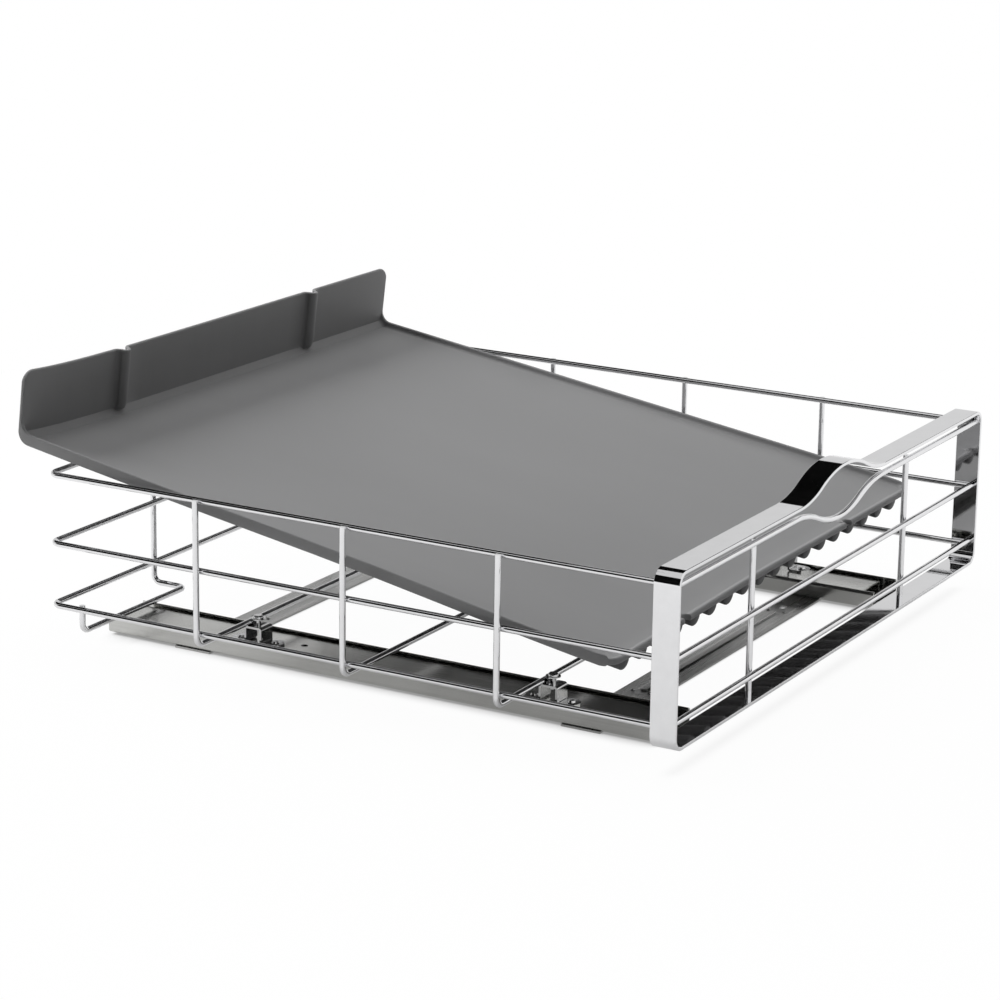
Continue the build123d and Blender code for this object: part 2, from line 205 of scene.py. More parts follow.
def metal(name, dark, light, rough, grain, bump):
    """A metal: two close colours and two roughnesses spread by a grain, and a faint bump."""
    material, shader, add, link = new_material(name)
    shader.inputs["Metallic"].default_value = 1
    cloud = object_noise(add, link, grain, METAL_DETAIL, METAL_ROUGHNESS)
    link(mixed(add, link, cloud, dark, light), shader.inputs["Base Color"])
    link(graded(add, link, cloud, *rough), shader.inputs["Roughness"])
    bumped(add, link, shader, cloud, *bump)
    return material


def rubber(name, dark, light):
    """Matt moulded rubber: a fine pebble, faint flow lines along the slope and a worn, uneven sheen."""
    material, shader, add, link = new_material(name)
    flow = object_noise(add, link, **RUBBER_FLOW)
    half_cloud = calculated(add, link, "MULTIPLY", object_noise(add, link, **RUBBER_CLOUD), 0.5)
    wear = calculated(add, link, "MULTIPLY_ADD", flow, 0.5, half_cloud)
    colours = [(grey, grey, grey * RUBBER_BLUE) for grey in (dark, light)]
    link(mixed(add, link, wear, *colours), shader.inputs["Base Color"])
    link(graded(add, link, wear, *RUBBER_ROUGH), shader.inputs["Roughness"])
    shader.inputs["Specular IOR Level"].default_value = RUBBER_SHINE
    bumped(add, link, shader, object_noise(add, link, **RUBBER_PEBBLE), *RUBBER_BUMP)
    return material


def chrome_plate():
    """Polished chrome plate, on the wires and the front strip."""
    return metal(
        "chrome", dark=(0.74, 0.74, 0.75), light=(0.82, 0.82, 0.83),
        rough=(0.03, 0.06), grain=(90, 90, 90), bump=(0.03, 0.03 * MM),
    )


def satin_zinc():
    """Satin zinc plate, with fine marks along the rails."""
    return metal(
        "satin_zinc", dark=(0.54, 0.54, 0.52), light=(0.70, 0.70, 0.68),
        rough=(0.14, 0.24), grain=(700, 8, 700), bump=(0.25, 0.05 * MM),
    )


def strap_zinc():
    """Duller zinc plate, with fine marks along the straps."""
    return metal(
        "strap_zinc", dark=(0.50, 0.50, 0.49), light=(0.68, 0.68, 0.67),
        rough=(0.24, 0.38), grain=(9, 600, 600), bump=(0.2, 0.05 * MM),
    )


def bright_zinc():
    """Bright zinc plate, on the clamps and their rivets."""
    return metal(
        "bright_zinc", dark=(0.55, 0.55, 0.55), light=(0.70, 0.70, 0.70),
        rough=(0.08, 0.18), grain=(260, 260, 260), bump=(0.2, 0.06 * MM),
    )


def nickel_plate():
    """Bright nickel plate, on the clamps' screws."""
    return metal(
        "nickel", dark=(0.56, 0.56, 0.56), light=(0.72, 0.72, 0.72),
        rough=(0.08, 0.16), grain=(300, 300, 300), bump=(0.15, 0.05 * MM),
    )


def rolled_steel():
    """Plain rolled steel, in the ball cages."""
    return metal(
        "rolled_steel", dark=(0.34, 0.34, 0.34), light=(0.50, 0.50, 0.50),
        rough=(0.28, 0.42), grain=(400, 30, 400), bump=(0.2, 0.05 * MM),
    )


def bearing_steel():
    """Ground steel, on the balls."""
    return metal(
        "bearing_steel", dark=(0.66, 0.66, 0.67), light=(0.76, 0.76, 0.77),
        rough=(0.05, 0.1), grain=(500, 500, 500), bump=(0.05, 0.02 * MM),
    )


def make_materials():
    """The finish of each slot, and a darker rubber on the liner's ribs, which paints shade on them."""
    chrome = chrome_plate()
    return {
        "chromed_wire": chrome,
        "chromed_strip": chrome,
        "slide_steel": satin_zinc(),
        "strap_steel": strap_zinc(),
        "clamp_steel": bright_zinc(),
        "screw_steel": nickel_plate(),
        "cage_steel": rolled_steel(),
        "ball_steel": bearing_steel(),
        "liner_rubber": rubber("liner_rubber", dark=0.198, light=0.25),
        # The ribs' rubber is darker than the liner's: painted shade on the ribs' faces.
        "rib_rubber_painted_shade": rubber("rib_rubber_painted_shade", dark=0.085, light=0.115),
    }


# Geometry node trees
LENGTH = "NodeSocketFloat"
COUNT = "NodeSocketInt"
FINISH = "NodeSocketMaterial"


def new_tree(name, sizes):
    """A geometry node tree with named inputs, given as name: (socket kind, value)."""
    tree = bpy.data.node_groups.new(name, "GeometryNodeTree")
    tree.interface.new_socket("Geometry", in_out="INPUT", socket_type="NodeSocketGeometry")
    for label, (kind, value) in sizes.items():
        socket = tree.interface.new_socket(label, in_out="INPUT", socket_type=kind)
        if value is not None:
            socket.default_value = value
    tree.interface.new_socket("Geometry", in_out="OUTPUT", socket_type="NodeSocketGeometry")
    add, link = node_adder(tree.nodes), tree.links.new
    given = add("NodeGroupInput").outputs
    result = add("NodeGroupOutput")

    def close(geometry):
        """The tree ends with real geometry in its material."""
        real = add("GeometryNodeRealizeInstances")
        finish = add("GeometryNodeSetMaterial")
        link(geometry, real.inputs["Geometry"])
        link(real.outputs["Geometry"], finish.inputs["Geometry"])
        link(given["Material"], finish.inputs["Material"])
        link(finish.outputs["Geometry"], result.inputs["Geometry"])

    return tree, given, add, link, close


def make_wire_tree():
    """A round wire along a path of corner points, each corner bent to one radius."""
    sizes = {
        "Wire radius": (LENGTH, 0.002),
        "Bend radius": (LENGTH, 0.008),
        "Bend steps": (COUNT, 12),
        "Around": (COUNT, 28),
        "Material": (FINISH, None),
    }
    tree, given, add, link, close = new_tree("bent_wire", sizes)
    bend = add("GeometryNodeFilletCurve", mode="POLY")
    bend.inputs["Limit Radius"].default_value = True
    section = add("GeometryNodeCurvePrimitiveCircle")
    tube = add("GeometryNodeCurveToMesh")
    tube.inputs["Fill Caps"].default_value = True
    link(given["Geometry"], bend.inputs["Curve"])
    link(given["Bend radius"], bend.inputs["Radius"])
    link(given["Bend steps"], bend.inputs["Count"])
    link(given["Around"], section.inputs["Resolution"])
    link(given["Wire radius"], section.inputs["Radius"])
    link(bend.outputs["Curve"], tube.inputs["Curve"])
    link(section.outputs["Curve"], tube.inputs["Profile Curve"])
    close(tube.outputs["Mesh"])
    return tree


def make_strip_tree():
    """A flat strip with rounded edges, bent along a closed path drawn in its own XY plane."""
    sizes = {
        "Strip depth": (LENGTH, 0.019),
        "Strip wall": (LENGTH, 0.0025),
        "Edge radius": (LENGTH, 0.0004),
        "Edge steps": (COUNT, 4),
        "Material": (FINISH, None),
    }
    tree, given, add, link, close = new_tree("bent_strip", sizes)
    level = add("GeometryNodeSetCurveNormal", mode="Z_UP")
    section = add("GeometryNodeCurvePrimitiveQuadrilateral")
    round_edges = add("GeometryNodeFilletCurve", mode="POLY")
    strip = add("GeometryNodeCurveToMesh")
    stand = add("GeometryNodeTransform")
    stand.inputs["Rotation"].default_value = (pi / 2, 0, 0)
    link(given["Geometry"], level.inputs["Curve"])
    link(given["Strip wall"], section.inputs["Width"])
    link(given["Strip depth"], section.inputs["Height"])
    link(section.outputs["Curve"], round_edges.inputs["Curve"])
    link(given["Edge radius"], round_edges.inputs["Radius"])
    link(given["Edge steps"], round_edges.inputs["Count"])
    link(level.outputs["Curve"], strip.inputs["Curve"])
    link(round_edges.outputs["Curve"], strip.inputs["Profile Curve"])
    link(strip.outputs["Mesh"], stand.inputs["Geometry"])
    close(stand.outputs["Geometry"])
    return tree


def rib_section(given, add, link):
    """A rib's section, hung below its path by all but its sink, with its two lower corners rounded."""
    tall = calculated(add, link, "ADD", given["Rib height"], given["Sink"])
    section = add("GeometryNodeCurvePrimitiveQuadrilateral")
    link(given["Rib width"], section.inputs["Width"])
    link(tall, section.inputs["Height"])
    corner = add("ShaderNodeSeparateXYZ")
    link(add("GeometryNodeInputPosition").outputs["Position"], corner.inputs["Vector"])
    is_lower = calculated(add, link, "GREATER_THAN", corner.outputs["Y"], 0.0)
    bend = add("GeometryNodeFilletCurve", mode="POLY")
    bend.inputs["Limit Radius"].default_value = True
    link(section.outputs["Curve"], bend.inputs["Curve"])
    link(calculated(add, link, "MULTIPLY", given["Round"], is_lower), bend.inputs["Radius"])
    link(given["Round steps"], bend.inputs["Count"])
    half_tall = calculated(add, link, "MULTIPLY", tall, 0.5)
    drop = add("ShaderNodeCombineXYZ")
    link(calculated(add, link, "SUBTRACT", half_tall, given["Sink"]), drop.inputs["Y"])
    hang = add("GeometryNodeTransform")
    link(bend.outputs["Curve"], hang.inputs["Geometry"])
    link(drop.outputs["Vector"], hang.inputs["Translation"])
    return hang.outputs["Geometry"]


def rib_places(given, add, link):
    """A point for each rib: an evenly spaced row across the liner, centred on the path."""
    gaps = calculated(add, link, "ADD", given["Ribs"], -1)
    span = calculated(add, link, "MULTIPLY", gaps, given["Pitch"])
    first = add("ShaderNodeCombineXYZ")
    link(calculated(add, link, "MULTIPLY", span, -0.5), first.inputs["X"])
    step = add("ShaderNodeCombineXYZ")
    link(given["Pitch"], step.inputs["X"])
    row = add("GeometryNodeMeshLine")
    link(given["Ribs"], row.inputs["Count"])
    link(first.outputs["Vector"], row.inputs["Start Location"])
    link(step.outputs["Vector"], row.inputs["Offset"])
    return row.outputs["Mesh"]


def make_rib_tree():
    """Ribs along a path, one at each place of the row, with the path's radius as their scale."""
    sizes = {
        "Rib width": (LENGTH, 0.013),
        "Rib height": (LENGTH, 0.0066),
        "Sink": (LENGTH, 0.0012),
        "Round": (LENGTH, 0.0062),
        "Round steps": (COUNT, 8),
        "Pitch": (LENGTH, 0.0256),
        "Ribs": (COUNT, 18),
        "Material": (FINISH, None),
    }
    tree, given, add, link, close = new_tree("liner_ribs", sizes)
    level = add("GeometryNodeSetCurveNormal", mode="Z_UP")
    link(given["Geometry"], level.inputs["Curve"])
    rib = add("GeometryNodeCurveToMesh")
    rib.inputs["Fill Caps"].default_value = True
    link(level.outputs["Curve"], rib.inputs["Curve"])
    link(rib_section(given, add, link), rib.inputs["Profile Curve"])
    link(add("GeometryNodeInputRadius").outputs["Radius"], rib.inputs["Scale"])
    copies = add("GeometryNodeInstanceOnPoints")
    link(rib_places(given, add, link), copies.inputs["Points"])
    link(rib.outputs["Mesh"], copies.inputs["Instance"])
    close(copies.outputs["Instances"])
    return tree


# Meshes and pieces
SMOOTH_ANGLE = 35
LINER_SMOOTH_ANGLE = 40
FULL_WEIGHT = 100


def path_object(name, points, closed=False):
    """A curve object of one poly spline."""
    data = bpy.data.curves.new(name, "CURVE")
    data.dimensions = "3D"
    spline = data.splines.new("POLY")
    spline.points.add(len(points) - 1)
    for point, place in zip(spline.points, points):
        point.co = (*place, 1)
    spline.use_cyclic_u = closed
    return bpy.data.objects.new(name, data)


def placed(name, mesh):
    """A mesh as an object of the scene."""
    piece = bpy.data.objects.new(name, mesh)
    bpy.context.scene.collection.objects.link(piece)
    return piece


def grown(name, source, tree, values):
    """The plain mesh object that a tree makes of a source object, with its named inputs set."""
    bpy.context.scene.collection.objects.link(source)
    modifier = source.modifiers.new(tree.name, "NODES")
    modifier.node_group = tree
    for item in tree.interface.items_tree:
        if item.in_out == "INPUT" and item.name in values:
            modifier[item.identifier] = values[item.name]
    bpy.context.view_layer.update()
    evaluated = source.evaluated_get(bpy.context.evaluated_depsgraph_get())
    mesh = bpy.data.meshes.new_from_object(evaluated)
    source.modifiers.remove(modifier)
    bpy.data.objects.remove(source)
    return placed(name, mesh)


def smooth(mesh, angle=SMOOTH_ANGLE):
    """Smooth shading, with every edge sharper than the angle kept sharp."""
    for face in mesh.polygons:
        face.use_smooth = True
    mesh.set_sharp_from_angle(angle=radians(angle))


def weighted(piece):
    """Normals weighted by face area, so that flat faces reflect flat."""
    modifier = piece.modifiers.new("flat_faces", "WEIGHTED_NORMAL")
    modifier.keep_sharp = True
    modifier.weight = FULL_WEIGHT


def hand_over(piece, body, slot, *nodes):
    """The finished piece rides on its body and stands for its CAD nodes; the slot is not used."""
    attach(piece, body)
    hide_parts(*nodes)


# Basket wires
RIM_BEND = 8 * MM
CROSS_BEND = 7 * MM
CORNER_BEND = 6 * MM
CORNER_LEG = 1.8 * MM
CORNER_INSET = 135.3 * MM
HUMP_HALF = 73 * MM
HUMP_RISE = 16 * MM
ARCH_STEPS = 20


def wire(tree, node, points, bend=0):
    """One chromed wire along its corner points."""
    values = {"Wire radius": wire_radius, "Bend radius": bend, "Material": materials["chromed_wire"]}
    piece = grown("chrome_" + node, path_object(f"chrome_{node}_path", points), tree, values)
    smooth(piece.data)
    hand_over(piece, "basket", "chromed_wire", node)


def arch_points(half, rise, z):
    """A hump in a level line, or with a negative rise a dip: three tangent arcs."""
    radius = (half**2 + rise**2) / (4 * abs(rise))
    turn = asin(half / 2 / radius)
    sign = copysign(1, rise)
    points = []
    for step in range(ARCH_STEPS + 1):
        angle = turn * step / ARCH_STEPS
        points.append((-half + radius * sin(angle), z + sign * radius * (1 - cos(angle))))
    for step in range(1, 2 * ARCH_STEPS):
        angle = turn * (step / ARCH_STEPS - 1)
        points.append((radius * sin(angle), z + rise - sign * radius * (1 - cos(angle))))
    for step in range(ARCH_STEPS + 1):
        angle = turn * (1 - step / ARCH_STEPS)
        points.append((half - radius * sin(angle), z + sign * radius * (1 - cos(angle))))
    return points


def rim_points(node):
    """A rim wire: along one side, across the back and along the other side."""
    low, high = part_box(node)
    x, back, z = high.x - wire_radius, high.y - wire_radius, (low.z + high.z) / 2
    return [(-x, low.y, z), (-x, back, z), (x, back, z), (x, low.y, z)]


def cross_points(node):
    """A cross wire: down one side, under the basket and up the other side."""
    low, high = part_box(node)
    x, y, foot = high.x - wire_radius, (low.y + high.y) / 2, low.z + wire_radius
    return [(-x, y, high.z), (-x, y, foot), (x, y, foot), (x, y, high.z)]


def corner_points(node, side):
    """A corner wire: a short leg on the low rim, over the slide, to the back, and up it."""
    low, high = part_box(node)
    leg_x = side * (max(abs(low.x), abs(high.x)) - wire_radius)
    run_y, back = low.y + wire_radius, high.y - wire_radius
    foot = low.z + wire_radius
    rim_low, rim_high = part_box("low_rim_wire")
    leg_top = (rim_low.z + rim_high.z) / 2 + CORNER_LEG
    post_x = side * (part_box("front_frame")[1].x - CORNER_INSET)
    return [
        (leg_x, run_y, leg_top),
        (leg_x, run_y, foot),
        (post_x, run_y, foot),
        (post_x, back, foot),
        (post_x, back, high.z),
    ]


def upright_points(node):
    """An upright: straight up behind the front wires."""
    low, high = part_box(node)
    x, y = (low.x + high.x) / 2, (low.y + high.y) / 2
    return [(x, y, low.z), (x, y, high.z)]


def front_points(node):
    """A straight front wire, from one post of the front frame to the other."""
    low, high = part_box(node)
    y, z = (low.y + high.y) / 2, (low.z + high.z) / 2
    return [(low.x, y, z), (high.x, y, z)]


def grip_points():
    """The grip wire: the top front wire, with its dip under the hump."""
    low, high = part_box("grip_wire")
    y, z = (low.y + high.y) / 2, high.z - wire_radius
    dip = low.z + wire_radius - z
    line = [(low.x, z), *arch_points(HUMP_HALF, dip, z), (high.x, z)]
    return [(x, y, height) for x, height in line]


def make_wires():
    """The thirteen wires of the basket."""
    tree = make_wire_tree()
    for name in ("top_rim_wire", "mid_rim_wire", "low_rim_wire"):
        wire(tree, name, rim_points(name), RIM_BEND)
    for name in ("front_cross_wire", "middle_cross_wire", "rear_cross_wire"):
        wire(tree, name, cross_points(name), CROSS_BEND)
    for name, side in (("left_corner_wire", -1), ("right_corner_wire", 1)):
        wire(tree, name, corner_points(name, side), CORNER_BEND)
    for name in ("left_front_upright", "right_front_upright"):
        wire(tree, name, upright_points(name))
    for name in ("front_mid_wire", "front_low_wire"):
        wire(tree, name, front_points(name))
    wire(tree, "grip_wire", grip_points())


# Front frame
STRIP_WALL = 2.5 * MM
STRIP_EDGE = 0.5 * MM
FRAME_CORNER = 9.5 * MM
CORNER_STEPS = 14


def frame_line(low, high):
    """The strip's middle line as (x, z): a ring with four round corners and the hump in its top bar."""
    half = high.x - STRIP_WALL / 2
    foot, hump_top = low.z + STRIP_WALL / 2, high.z - STRIP_WALL / 2
    top = hump_top - HUMP_RISE
    bend = FRAME_CORNER - STRIP_WALL / 2
    line = arch_points(HUMP_HALF, HUMP_RISE, top)
    corners = ((half - bend, top - bend, 90), (half - bend, foot + bend, 0))
    corners += ((bend - half, foot + bend, -90), (bend - half, top - bend, -180))
    for x, z, start in corners:
        for step in range(CORNER_STEPS + 1):
            angle = radians(start - 90 * step / CORNER_STEPS)
            line.append((x + bend * cos(angle), z + bend * sin(angle)))
    return line


def make_front_frame():
    """The chromed strip, bent along its middle line."""
    low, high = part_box("front_frame")
    depth_middle = -(low.y + high.y) / 2
    points = [(x, z, depth_middle) for x, z in frame_line(low, high)]
    values = {
        "Strip depth": high.y - low.y,
        "Strip wall": STRIP_WALL,
        "Edge radius": STRIP_EDGE,
        "Material": materials["chromed_strip"],
    }
    path = path_object("front_frame_path", points, closed=True)
    piece = grown("chrome_front_frame", path, make_strip_tree(), values)
    smooth(piece.data)
    weighted(piece)
    hand_over(piece, "basket", "chromed_strip", "front_frame")


# Slides, straps, clamps and fasteners, whose CAD shape is right
MERGE_DISTANCE = 0.001 * MM
FLAT_ANGLE = radians(0.6)


def dressed(node, slot):
    """A copy of a CAD node's mesh, merged, with its flat faces made one and its bends smooth."""
    source = frame["nodes"][node]
    mesh = source.data.copy()
    solid = bmesh.new()
    solid.from_mesh(mesh)
    bmesh.ops.remove_doubles(solid, verts=solid.verts, dist=MERGE_DISTANCE)
    bmesh.ops.dissolve_limit(solid, angle_limit=FLAT_ANGLE, verts=solid.verts, edges=solid.edges)
    solid.to_mesh(mesh)
    solid.free()
    mesh.materials.clear()
    mesh.materials.append(materials[slot])
    smooth(mesh)
    piece = placed("fine_" + node, mesh)
    weighted(piece)
    hand_over(piece, source["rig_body"], slot, node)


def make_slide(side):
    """One slide: its rails, its ball cage and its balls."""
    dressed(side + "_outer_rail", "slide_steel")
    dressed(side + "_inner_rail", "slide_steel")
    dressed(side + "_ball_cage", "cage_steel")
    dressed(side + "_balls", "ball_steel")


def make_clamps(side):
    """The two clamps on one slide's inner rail."""
    for row in ("front", "rear"):
        dressed(f"{side}_{row}_clamp", "clamp_steel")


def make_straps():
    """The two cross straps under the outer rails, with their rivets."""
    for row in ("front", "rear"):
        dressed(row + "_cross_strap", "strap_steel")
    dressed("strap_rivets", "strap_steel")


def make_clamp_fasteners():
    """The screws that hold the cross wires on the clamps, and the clamps' rivets."""
    dressed("clamp_screws", "screw_steel")
    dressed("clamp_rivets", "clamp_steel")


# Liner, in its own measures: x across, v up the slope from the front edge, w square to the mat
LINER_TILT = radians(9)
LINER_RISE = 10.3 * MM
LINER_OVERHANG = 32.0 * MM
SHEET = 2.8 * MM
EDGE_ROUND = 1.1 * MM
EDGE_STEPS = 4
TINY = 0.01 * MM
SAME_PLACE = 0.9 * TINY
MAT_SHARES = (0.02, 0.05, 0.09, 0.14, 0.2, 0.28, 0.38, 0.48, 0.58, 0.68, 0.77, 0.85, 0.92, 0.97, 1)

# Liner: the rolled front rim, its round corners and its two notches
RIM_HEIGHT = 1.5 * MM
RIM_ROUND = 2.0 * MM
RIM_STEPS = 6
RIM_FALL = 4.0 * MM
FALL_SHARES = (0.25, 0.5, 0.75, 1)
FRONT_CORNER = 14 * MM
NOTCHES = (-136 * MM, 128 * MM)
NOTCH_ROUND = 4.5 * MM
NOTCH_STEPS = 8

# Liner: the lips along its sides
LIP_WIDTH = 3.0 * MM
LIP_HEIGHT = 4.5 * MM
LIP_FRONT = 3.9 * MM
LIP_SKIRT = 1.2 * MM
LIP_TAPER = 24 * MM
LIP_FILLET = 2.2 * MM
LIP_RISE = 8.5 * MM
LIP_DRAFT = 0.1 * MM
LIP_FLAT = 0.3 * MM
SIDE_INSETS = (45, 30, 20, 14, 11, 8.5, 6.8)
SIDE_STEPS = 5

# Liner: the flange at its back, and the two channels in it
BACK_HEIGHT = 49.7 * MM
BACK_LEAN = tan(radians(2.5))
BACK_CORNER = 11 * MM
BACK_FOOT = 4.5 * MM
BACK_HEEL = 9 * MM
FOOT_STEPS = 12
HEEL_STEPS = 8
FACE_SHARES = (0.12, 0.3, 0.6, 1)
GROOVE_X = 126.55 * MM
GROOVE_AHEAD = 3.3 * MM
GROOVE_ROUND = 2.9 * MM
GROOVE_WALL = 2.8 * MM
GROOVE_BLEND = 3.0 * MM
GROOVE_FOOT = 2.5 * MM
GROOVE_FLOOR = 8 * MM
GROOVE_STEPS = 6
REAR_SHARE = 0.6
MIDDLE_PITCH = 20 * MM
MIDDLE_STEPS = 9

# Liner: the ribs under it, and how they slim at an end, as millimetres from it and scale there
RIB_WIDTH = 13 * MM
RIB_HEIGHT = 6.6 * MM
RIB_COUNT = 18
RIB_PITCH = 25.6 * MM
RIB_SHIFT = -7.5 * MM
RIB_ROUND = 6.2 * MM
RIB_SINK = 1.2 * MM
RIB_STOP = 14 * MM
RIB_END = ((0.6, 0.90), (0.8, 0.94), (1.2, 0.98), (1.9, 1))

# Liner: how the soft sheet lies
REAR_SAG = 6.2 * MM
SAG_EASE = 0.7
REAR_CURL = 5.3 * MM
CURL_ACROSS = 10
CURL_ALONG = 2.6
FRONT_DROOP = 5 * MM
DROOP_REACH = 240 * MM


def eased(share):
    """0 to 1 with soft ends."""
    share = min(1, max(0, share))
    return share * share * (3 - 2 * share)


def quarter(steps, first=0):
    """The angles of a quarter turn, in even steps."""
    return [pi / 2 * step / steps for step in range(first, steps + 1)]


def round_reach(radius, offset):
    """Half the width of a circle at an offset from its middle."""
    return sqrt(max(0, radius * radius - offset * offset))


def blend_rise(offset, foot, radius):
    """How far a round corner has risen, at an offset from the channel's middle; it starts at its foot."""
    return radius - round_reach(radius, foot - offset)


def front_face(x, w):
    """How far the flange's front face stands ahead of its back plane, also at a channel's round back."""
    offset = abs(abs(x) - GROOVE_X)
    outer = GROOVE_ROUND + GROOVE_WALL
    foot = outer + GROOVE_BLEND
    if offset >= foot or w <= GROOVE_FOOT:
        return SHEET
    if offset > outer:
        reach = blend_rise(offset, foot, GROOVE_BLEND)
    else:
        reach = GROOVE_AHEAD + round_reach(outer, offset) - SHEET
    dome = 1 - min(1, (w - GROOVE_FOOT) / outer)
    return SHEET + reach * sqrt(1 - dome * dome)


def rear_face(x, w):
    """How far the flange's rear face lies ahead of its back plane: none, or a channel's hollow."""
    offset = abs(abs(x) - GROOVE_X)
    blend = GROOVE_WALL + GROOVE_BLEND
    foot = GROOVE_ROUND + blend
    if offset >= foot or w < GROOVE_FLOOR:
        return 0
    if offset > GROOVE_ROUND:
        return min(blend_rise(offset, foot, blend), GROOVE_AHEAD)
    return GROOVE_AHEAD + round_reach(GROOVE_ROUND, offset)


def lip_top(v):
    """The lip's height along the side: low at the front corner, then level."""
    return LIP_FRONT + (LIP_HEIGHT - LIP_FRONT) * min(1, v / LIP_TAPER)


def front_start(x, inset):
    """Where the mat starts behind its front line: at its round corners, and in its notches."""
    start = 0
    if inset < FRONT_CORNER:
        start = FRONT_CORNER - round_reach(FRONT_CORNER, FRONT_CORNER - inset)
    for notch in NOTCHES:
        start = max(start, round_reach(NOTCH_ROUND, x - notch))
    return start


def rim_outline(start, lip, sole):
    """The front rim: up from the sole, over its top and down to the mat."""
    top = RIM_HEIGHT + lip * (LIP_FRONT - RIM_HEIGHT)
    points = []
    for angle in quarter(EDGE_STEPS):
        points.append((start + EDGE_ROUND * (1 - sin(angle)), EDGE_ROUND * (1 - cos(angle)) + sole))
    for angle in quarter(RIM_STEPS):
        points.append((start + RIM_ROUND * (1 - cos(angle)), top - RIM_ROUND * (1 - sin(angle))))
    for share in FALL_SHARES:
        v = start + RIM_ROUND + share * RIM_FALL
        points.append((v, (1 - lip) * RIM_HEIGHT * (1 - eased(share)) + lip * lip_top(v - start)))
    return points


def mat_outline(start, end, lip):
    """The mat's top, or the lip's."""
    mat_start = start + RIM_ROUND + RIM_FALL
    points = []
    for share in MAT_SHARES:
        v = mat_start + share * (end - mat_start)
        points.append((v, lip * lip_top(v - start)))
    return points


def flange_front(x, lip, foot_start, foot_reach, top, length):
    """The foot of the flange, a chamfer that turns to an arc at the lips, and the face above it."""
    foot_w = lip * LIP_HEIGHT
    points = []
    for step in range(1, FOOT_STEPS + 1):
        angle = pi / 2 * step / FOOT_STEPS
        w = foot_w + foot_reach * (lip * (1 - cos(angle)) + (1 - lip) * step / FOOT_STEPS)
        v = foot_start + foot_reach * (lip * sin(angle) + (1 - lip) * step / FOOT_STEPS)
        points.append((min(v, length - front_face(x, w)) + BACK_LEAN * w, w))
    face_w = foot_w + foot_reach
    for share in FACE_SHARES:
        w = face_w + share * (top - EDGE_ROUND - face_w)
        points.append((length - front_face(x, w) + BACK_LEAN * w, w))
    return points


def flange_rear(x, top, length):
    """The flange's round top edge, and its rear face down to where the channels end."""
    front, rear = length - front_face(x, top), length - rear_face(x, top)
    points = []
    for angle in quarter(EDGE_STEPS, first=1):
        w = top - EDGE_ROUND * (1 - sin(angle))
        points.append((front + EDGE_ROUND * (1 - cos(angle)) + BACK_LEAN * w, w))
    for angle in quarter(EDGE_STEPS):
        w = top - EDGE_ROUND * (1 - cos(angle))
        points.append((rear - EDGE_ROUND * (1 - sin(angle)) + BACK_LEAN * w, w))
    for w in (REAR_SHARE * top + (1 - REAR_SHARE) * GROOVE_FLOOR, GROOVE_FLOOR + TINY):
        points.append((length - rear_face(x, w) + BACK_LEAN * w, w))
    points.append((length + BACK_LEAN * GROOVE_FLOOR, GROOVE_FLOOR))
    return points


def sole_outline(start, sole, length):
    """The round heel under the flange, and the sole back to the front."""
    points = []
    for angle in quarter(HEEL_STEPS):
        w = BACK_HEEL * (1 - sin(angle)) + sole
        points.append((length - BACK_HEEL * (1 - cos(angle)) + BACK_LEAN * max(0, w), w))
    run = length - BACK_HEEL - start - 3 * EDGE_ROUND
    for share in reversed(MAT_SHARES):
        points.append((start + 2 * EDGE_ROUND + share * run, sole))
    return points


def liner_section(x, inset, lip, length):
    """The liner's outline at one place across: its points as (v, w), the same number at every place."""
    start = front_start(x, inset)
    sole = -SHEET - lip * LIP_SKIRT
    top = BACK_HEIGHT
    if inset < BACK_CORNER:
        top -= BACK_CORNER - round_reach(BACK_CORNER, BACK_CORNER - inset)
    foot_reach = BACK_FOOT + lip * (LIP_RISE - BACK_FOOT)
    mat_end = length - SHEET - foot_reach
    points = rim_outline(start, lip, sole)
    points += mat_outline(start, mat_end, lip)
    points += flange_front(x, lip, mat_end, foot_reach, top, length)
    points += flange_rear(x, top, length)
    points += sole_outline(start, sole, length)
    return points


def shrunk(points, amount):
    """A section with its outline moved inwards, for the rounding of the liner's side edges."""
    moved = []
    for index, (v, w) in enumerate(points):
        before, after = points[index - 1], points[(index + 1) % len(points)]
        along_v, along_w = after[0] - before[0], after[1] - before[1]
        size = max(TINY * TINY, sqrt(along_v * along_v + along_w * along_w))
        moved.append((v + amount * along_w / size, w - amount * along_v / size))
    return moved


def side_stations(half):
    """Places near the right side: x, the inset from the side, the share of lip and the rounding there."""
    places = [(inset * MM, 0) for inset in SIDE_INSETS]
    for angle in quarter(EDGE_STEPS):
        inset = LIP_WIDTH + LIP_FILLET * (1 - sin(angle))
        places.append((inset, LIP_FILLET * (1 - cos(angle)) / LIP_HEIGHT))
    wall_top = LIP_HEIGHT - EDGE_ROUND
    for angle in quarter(EDGE_STEPS):
        inset = LIP_WIDTH - LIP_DRAFT - EDGE_ROUND * (1 - cos(angle))
        places.append((inset, (wall_top + EDGE_ROUND * sin(angle)) / LIP_HEIGHT))
    places.append((EDGE_ROUND + LIP_FLAT, 1))
    stations = [(half - inset, inset, lip, 0) for inset, lip in places]
    for angle in quarter(SIDE_STEPS):
        inset, rounding = EDGE_ROUND * (1 - sin(angle)), EDGE_ROUND * (1 - cos(angle))
        stations.append((half - inset, inset, 1, rounding))
    return stations


